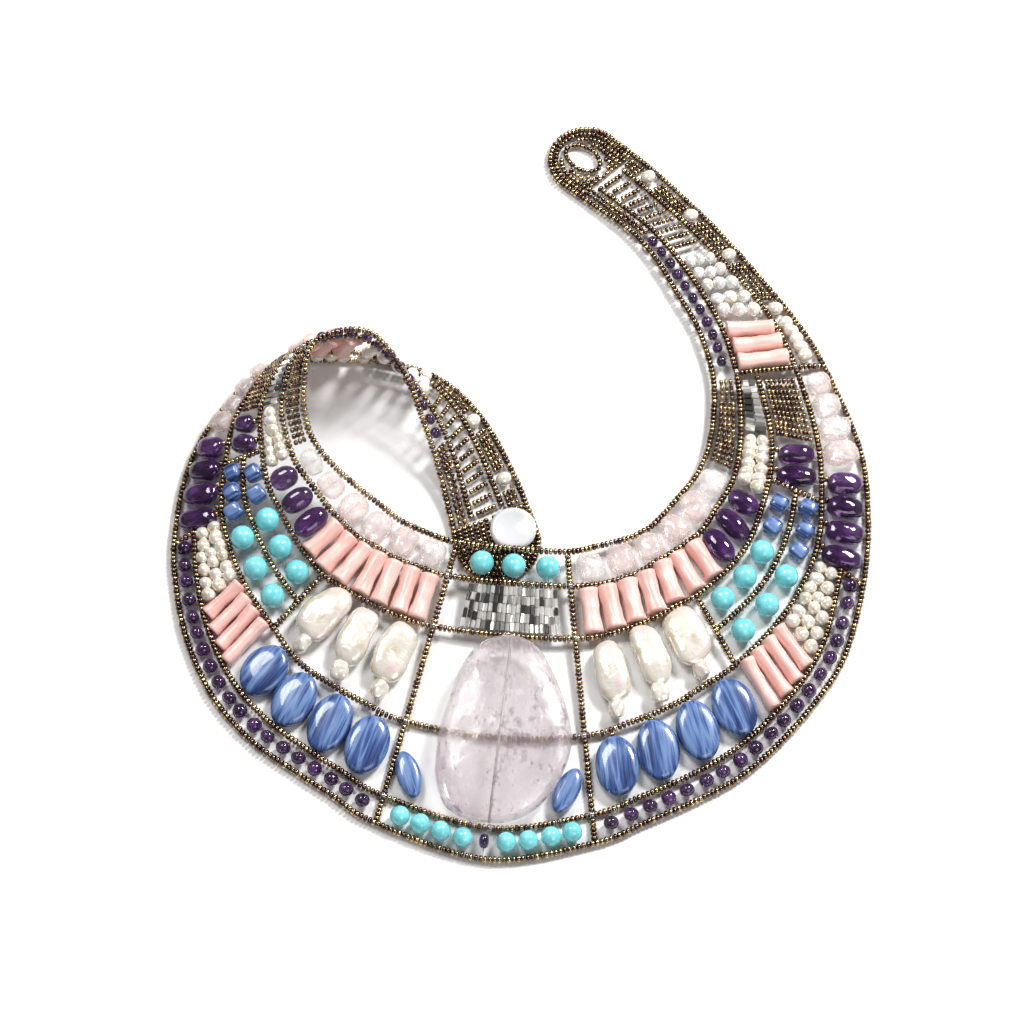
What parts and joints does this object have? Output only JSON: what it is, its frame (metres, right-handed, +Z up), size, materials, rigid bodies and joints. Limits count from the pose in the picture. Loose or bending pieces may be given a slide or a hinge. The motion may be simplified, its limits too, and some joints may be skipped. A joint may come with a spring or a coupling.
{
  "type": "bib necklace",
  "caption": "Beaded bib necklace of stones and seed-bead strands, lying open: a pear-shaped slab in the middle, two woven arms, one turned back in a loop, with a button and its hole.",
  "frame": {"origin": "on the floor under the middle of the necklace's bounding box", "axes": "+Z up from the floor the necklace lies on, +Y from the bottom of the bib towards the button-hole end, +X towards the flat arm"},
  "size_m": [0.223, 0.2594, 0.0315],
  "materials": {
    "bronze": "metallic-coated seed beads",
    "weave": "woven metallic-coated seed beads",
    "turquoise": "polished opaque stone",
    "amethyst": "faceted deep purple stone",
    "lilac": "polished pale lilac stone with inclusions",
    "quartz": "polished pale pink stone",
    "coral": "satin pink stone",
    "kyanite": "polished streaked blue stone",
    "pearl": "pearl lustre",
    "silver": "mirror-polished",
    "button": "glazed white"
  },
  "bodies": {
    "root": {"neckline_strand": "bronze", "second_strand": "bronze", "third_strand": "bronze", "fourth_strand": "bronze", "fifth_strand": "bronze", "edge_strand": "bronze", "amethyst_slab": "lilac", "centre_turquoise": "turquoise", "centre_tubes": "silver", "edge_turquoise": "turquoise", "small_kyanite_right": "kyanite", "kyanite_right": "kyanite", "small_kyanite_left": "kyanite", "kyanite_left": "kyanite", "rose_quartz_right": "quartz", "woven_collar_right": "weave", "arm_amethyst_right": "amethyst", "inner_coral_right": "coral", "inner_amethyst_right": "amethyst", "inner_pearls_right": "pearl", "arm_tubes_right": "silver", "baroque_pearls_right": "pearl", "turquoise_right_a": "turquoise", "turquoise_right_b": "turquoise", "kyanite_cubes_right_a": "kyanite", "kyanite_cubes_right_b": "kyanite", "middle_amethyst_right": "amethyst", "seed_block_right": "weave", "outer_coral_right": "coral", "outer_pearls_right": "pearl", "edge_amethyst_right": "amethyst", "outer_amethyst_right": "amethyst", "outer_quartz_right": "quartz", "arm_coral_right": "coral", "arm_pearls_right": "pearl", "end_band_right": "weave", "rose_quartz_left": "quartz", "woven_collar_left": "weave", "arm_amethyst_left": "amethyst", "inner_coral_left": "coral", "inner_amethyst_left": "amethyst", "inner_pearls_left": "pearl", "arm_tubes_left": "silver", "baroque_pearls_left": "pearl", "turquoise_left_a": "turquoise", "turquoise_left_b": "turquoise", "kyanite_cubes_left_a": "kyanite", "kyanite_cubes_left_b": "kyanite", "middle_amethyst_left": "amethyst", "seed_block_left": "weave", "outer_coral_left": "coral", "outer_pearls_left": "pearl", "edge_amethyst_left": "amethyst", "outer_amethyst_left": "amethyst", "outer_quartz_left": "quartz", "arm_coral_left": "coral", "arm_pearls_left": "pearl", "end_band_left": "weave", "button": "button"}
  },
  "joints": []
}
